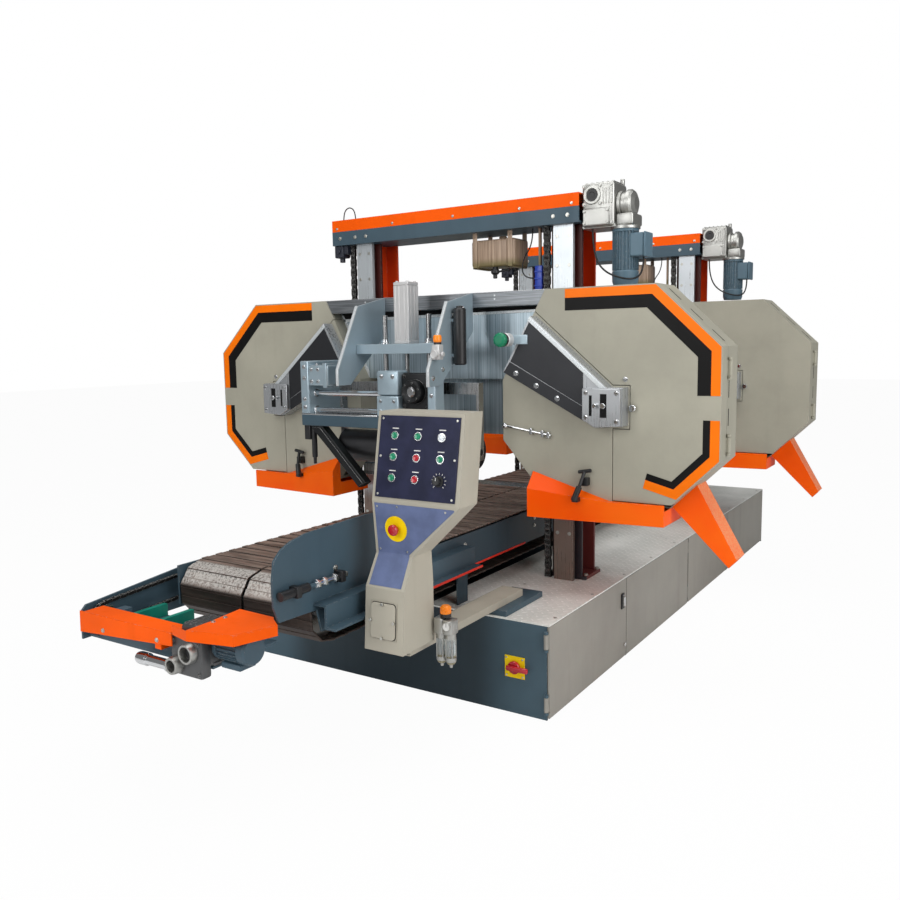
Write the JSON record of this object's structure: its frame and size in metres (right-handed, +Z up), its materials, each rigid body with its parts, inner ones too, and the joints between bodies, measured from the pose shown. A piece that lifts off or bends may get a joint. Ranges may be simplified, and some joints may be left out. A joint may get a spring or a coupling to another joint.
{
  "type": "log slab cutting machine",
  "caption": "Horizontal band resaw for slabbing logs: slat conveyor, octagonal blade wheel casings lifted on gantries, press rollers and an operator console",
  "frame": {"origin": "on the floor in the middle of the width, under the joint of the two base modules", "axes": "+X to the operator's side with the console, +Y the feed direction, +Z up"},
  "size_m": [2.782, 4.9347, 2.2326],
  "materials": {
    "slate_paint": "satin slate paint",
    "tread_steel": "ribbed tread plate",
    "cabinet_paint": "satin grey paint",
    "green_plastic": "matt green polyethylene",
    "slat_steel": "dark steel with worn bright edges",
    "orange_paint": "semi-gloss orange paint",
    "red_paint": "orange-red paint",
    "chain_steel": "oiled chain steel",
    "zinc_sheet": "galvanised sheet",
    "cream_paint": "satin cream paint",
    "orange_plastic": "gloss orange plastic",
    "console_paint": "satin warm grey paint",
    "navy_plate": "matt navy plate",
    "black_plastic": "matt black plastic",
    "black_rubber": "black cable sheath",
    "red_plastic": "gloss red plastic",
    "green_button": "gloss green plastic",
    "bare_steel": "turned bare steel",
    "khaki_paint": "satin khaki grey paint",
    "blade_steel": "blade steel",
    "wheel_iron": "machined cast iron"
  },
  "bodies": {
    "machine": {"air_unit": "bare_steel", "base_frame": "slate_paint", "cables": "black_rubber", "console_box": "console_paint", "control_plates": "navy_plate", "conveyor_bed": "slate_paint", "drive_chains": "chain_steel", "gantry_beams": "slate_paint", "gantry_columns": "red_paint", "gearmotors": "slate_paint", "guide_rails": "bare_steel", "lubricant_tanks": "cream_paint", "orange_covers": "orange_paint", "slat_chain": "slat_steel", "tread_plates": "tread_steel", "wear_strips": "green_plastic"},
    "front_head": {"front_head_beam": "bare_steel", "front_wheel_casings": "khaki_paint", "front_sawdust_pans": "orange_paint", "front_bearing_arms": "bare_steel", "front_saw_blade": "blade_steel", "front_saw_motor": "slate_paint", "front_hold_down": "zinc_sheet"},
    "front_drive_wheel": {"front_drive_wheel": "wheel_iron"},
    "front_idle_wheel": {"front_idle_wheel": "wheel_iron"},
    "front_left_door": {"front_left_door": "khaki_paint"},
    "front_right_door": {"front_right_door": "khaki_paint"},
    "front_press_carriage": {"front_press_carriage": "bare_steel"},
    "front_press_roller": {"front_press_roller": "bare_steel"},
    "line_shaft_front": {"line_shaft_front": "bare_steel"},
    "cabinet_door_front": {"cabinet_door_front": "cabinet_paint"},
    "rear_head": {"rear_head_beam": "bare_steel", "rear_wheel_casings": "khaki_paint", "rear_sawdust_pans": "orange_paint", "rear_bearing_arms": "bare_steel", "rear_saw_blade": "blade_steel", "rear_saw_motor": "slate_paint", "rear_hold_down": "zinc_sheet"},
    "rear_drive_wheel": {"rear_drive_wheel": "wheel_iron"},
    "rear_idle_wheel": {"rear_idle_wheel": "wheel_iron"},
    "rear_left_door": {"rear_left_door": "khaki_paint"},
    "rear_right_door": {"rear_right_door": "khaki_paint"},
    "rear_press_carriage": {"rear_press_carriage": "bare_steel"},
    "rear_press_roller": {"rear_press_roller": "bare_steel"},
    "line_shaft_rear": {"line_shaft_rear": "bare_steel"},
    "cabinet_door_rear": {"cabinet_door_rear": "cabinet_paint"},
    "drive_shaft": {"drive_shaft": "bare_steel"},
    "tail_shaft": {"tail_shaft": "bare_steel"},
    "feed_shaft": {"feed_shaft": "bare_steel"},
    "green_button_1": {"green_button_1": "green_button"},
    "green_button_2": {"green_button_2": "green_button"},
    "green_button_3": {"green_button_3": "green_button"},
    "green_button_4": {"green_button_4": "green_button"},
    "green_button_5": {"green_button_5": "green_button"},
    "red_button_1": {"red_button_1": "red_plastic"},
    "red_button_2": {"red_button_2": "red_plastic"},
    "speed_knob": {"speed_knob": "black_plastic"},
    "emergency_stop": {"emergency_stop": "red_plastic"},
    "isolator_handle": {"isolator_handle": "red_plastic"},
    "regulator_knob": {"regulator_knob": "orange_plastic"}
  },
  "joints": [
    {"name": "front_head_lift", "type": "slide", "parent": "machine", "child": "front_head", "axis": [0, 0, 1], "range_m": [-0.12, 0.25]},
    {"name": "front_drive_wheel_spin", "type": "hinge", "parent": "front_head", "child": "front_drive_wheel", "pos_m": [0.905, -1.291, 1.245], "axis": [0, 1, 0], "continuous": true},
    {"name": "front_idle_wheel_spin", "type": "hinge", "parent": "front_head", "child": "front_idle_wheel", "pos_m": [-0.905, -1.291, 1.245], "axis": [0, 1, 0], "continuous": true},
    {"name": "front_right_door_swing", "type": "hinge", "parent": "front_head", "child": "front_right_door", "pos_m": [1.366, -1.3635, 1.245], "axis": [0, 0, 1], "range_deg": [0, 105]},
    {"name": "front_left_door_swing", "type": "hinge", "parent": "front_head", "child": "front_left_door", "pos_m": [-1.366, -1.3635, 1.245], "axis": [0, 0, -1], "range_deg": [0, 105]},
    {"name": "front_press_slide", "type": "slide", "parent": "front_head", "child": "front_press_carriage", "axis": [0, 0, 1], "range_m": [-0.1, 0.05]},
    {"name": "front_press_roller_spin", "type": "hinge", "parent": "front_press_carriage", "child": "front_press_roller", "pos_m": [0, -1.6, 1.04], "axis": [1, 0, 0], "continuous": true},
    {"name": "line_shaft_front_turn", "type": "hinge", "parent": "machine", "child": "line_shaft_front", "pos_m": [0, -1.1, 2.094], "axis": [1, 0, 0], "range_deg": [-290, 140]},
    {"name": "rear_head_lift", "type": "slide", "parent": "machine", "child": "rear_head", "axis": [0, 0, 1], "range_m": [-0.12, 0.25]},
    {"name": "rear_drive_wheel_spin", "type": "hinge", "parent": "rear_head", "child": "rear_drive_wheel", "pos_m": [0.905, 0.509, 1.245], "axis": [0, 1, 0], "continuous": true},
    {"name": "rear_idle_wheel_spin", "type": "hinge", "parent": "rear_head", "child": "rear_idle_wheel", "pos_m": [-0.905, 0.509, 1.245], "axis": [0, 1, 0], "continuous": true},
    {"name": "rear_right_door_swing", "type": "hinge", "parent": "rear_head", "child": "rear_right_door", "pos_m": [1.366, 0.4365, 1.245], "axis": [0, 0, 1], "range_deg": [0, 105]},
    {"name": "rear_left_door_swing", "type": "hinge", "parent": "rear_head", "child": "rear_left_door", "pos_m": [-1.366, 0.4365, 1.245], "axis": [0, 0, -1], "range_deg": [0, 105]},
    {"name": "rear_press_slide", "type": "slide", "parent": "rear_head", "child": "rear_press_carriage", "axis": [0, 0, 1], "range_m": [-0.1, 0.05]},
    {"name": "rear_press_roller_spin", "type": "hinge", "parent": "rear_press_carriage", "child": "rear_press_roller", "pos_m": [0, 0.2, 1.04], "axis": [1, 0, 0], "continuous": true},
    {"name": "line_shaft_rear_turn", "type": "hinge", "parent": "machine", "child": "line_shaft_rear", "pos_m": [0, 0.7, 2.094], "axis": [1, 0, 0], "range_deg": [-290, 140]},
    {"name": "cabinet_door_front_swing", "type": "hinge", "parent": "machine", "child": "cabinet_door_front", "pos_m": [0.7905, -1.81, 0.2], "axis": [0, 0, -1], "range_deg": [0, 95]},
    {"name": "cabinet_door_rear_swing", "type": "hinge", "parent": "machine", "child": "cabinet_door_rear", "pos_m": [0.7905, -0.008, 0.2], "axis": [0, 0, -1], "range_deg": [0, 95]},
    {"name": "drive_shaft_spin", "type": "hinge", "parent": "machine", "child": "drive_shaft", "pos_m": [0, -2.55, 0.59], "axis": [1, 0, 0], "continuous": true},
    {"name": "tail_shaft_spin", "type": "hinge", "parent": "machine", "child": "tail_shaft", "pos_m": [0, 1.78, 0.59], "axis": [1, 0, 0], "continuous": true},
    {"name": "feed_shaft_spin", "type": "hinge", "parent": "machine", "child": "feed_shaft", "pos_m": [0, -2.92, 0.565], "axis": [1, 0, 0], "continuous": true},
    {"name": "green_button_1_press", "type": "slide", "parent": "machine", "child": "green_button_1", "axis": [0, 0.9845, -0.1755], "range_m": [0, 0.004], "stiffness_N_per_m": 500},
    {"name": "green_button_2_press", "type": "slide", "parent": "machine", "child": "green_button_2", "axis": [0, 0.9845, -0.1755], "range_m": [0, 0.004], "stiffness_N_per_m": 500},
    {"name": "green_button_3_press", "type": "slide", "parent": "machine", "child": "green_button_3", "axis": [0, 0.9845, -0.1755], "range_m": [0, 0.004], "stiffness_N_per_m": 500},
    {"name": "green_button_4_press", "type": "slide", "parent": "machine", "child": "green_button_4", "axis": [0, 0.9845, -0.1755], "range_m": [0, 0.004], "stiffness_N_per_m": 500},
    {"name": "green_button_5_press", "type": "slide", "parent": "machine", "child": "green_button_5", "axis": [0, 0.9845, -0.1755], "range_m": [0, 0.004], "stiffness_N_per_m": 500},
    {"name": "red_button_1_press", "type": "slide", "parent": "machine", "child": "red_button_1", "axis": [0, 0.9845, -0.1755], "range_m": [0, 0.004], "stiffness_N_per_m": 500},
    {"name": "red_button_2_press", "type": "slide", "parent": "machine", "child": "red_button_2", "axis": [0, 0.9845, -0.1755], "range_m": [0, 0.004], "stiffness_N_per_m": 500},
    {"name": "speed_knob_turn", "type": "hinge", "parent": "machine", "child": "speed_knob", "pos_m": [0.72, -2.44463, 1.05862], "axis": [0, -0.9845, 0.1755], "range_deg": [-135, 135]},
    {"name": "emergency_stop_press", "type": "slide", "parent": "machine", "child": "emergency_stop", "axis": [0, 0.9963, 0.0857], "range_m": [0, 0.006]},
    {"name": "isolator_handle_turn", "type": "hinge", "parent": "machine", "child": "isolator_handle", "pos_m": [0.645, -1.804, 0.197], "axis": [0, 1, 0], "range_deg": [0, 90]},
    {"name": "regulator_knob_turn", "type": "hinge", "parent": "machine", "child": "regulator_knob", "pos_m": [0.66, -2.33, 0.57], "axis": [0, 0, 1], "range_deg": [-180, 180]}
  ],
  "couplings": [
    {"joint": "front_idle_wheel_spin", "follows": "front_drive_wheel_spin", "ratio": 1},
    {"joint": "line_shaft_front_turn", "follows": "front_head_lift", "rad_per_m": -20},
    {"joint": "rear_idle_wheel_spin", "follows": "rear_drive_wheel_spin", "ratio": 1},
    {"joint": "line_shaft_rear_turn", "follows": "rear_head_lift", "rad_per_m": -20},
    {"joint": "tail_shaft_spin", "follows": "drive_shaft_spin", "ratio": 1},
    {"joint": "feed_shaft_spin", "follows": "drive_shaft_spin", "ratio": 1}
  ]
}
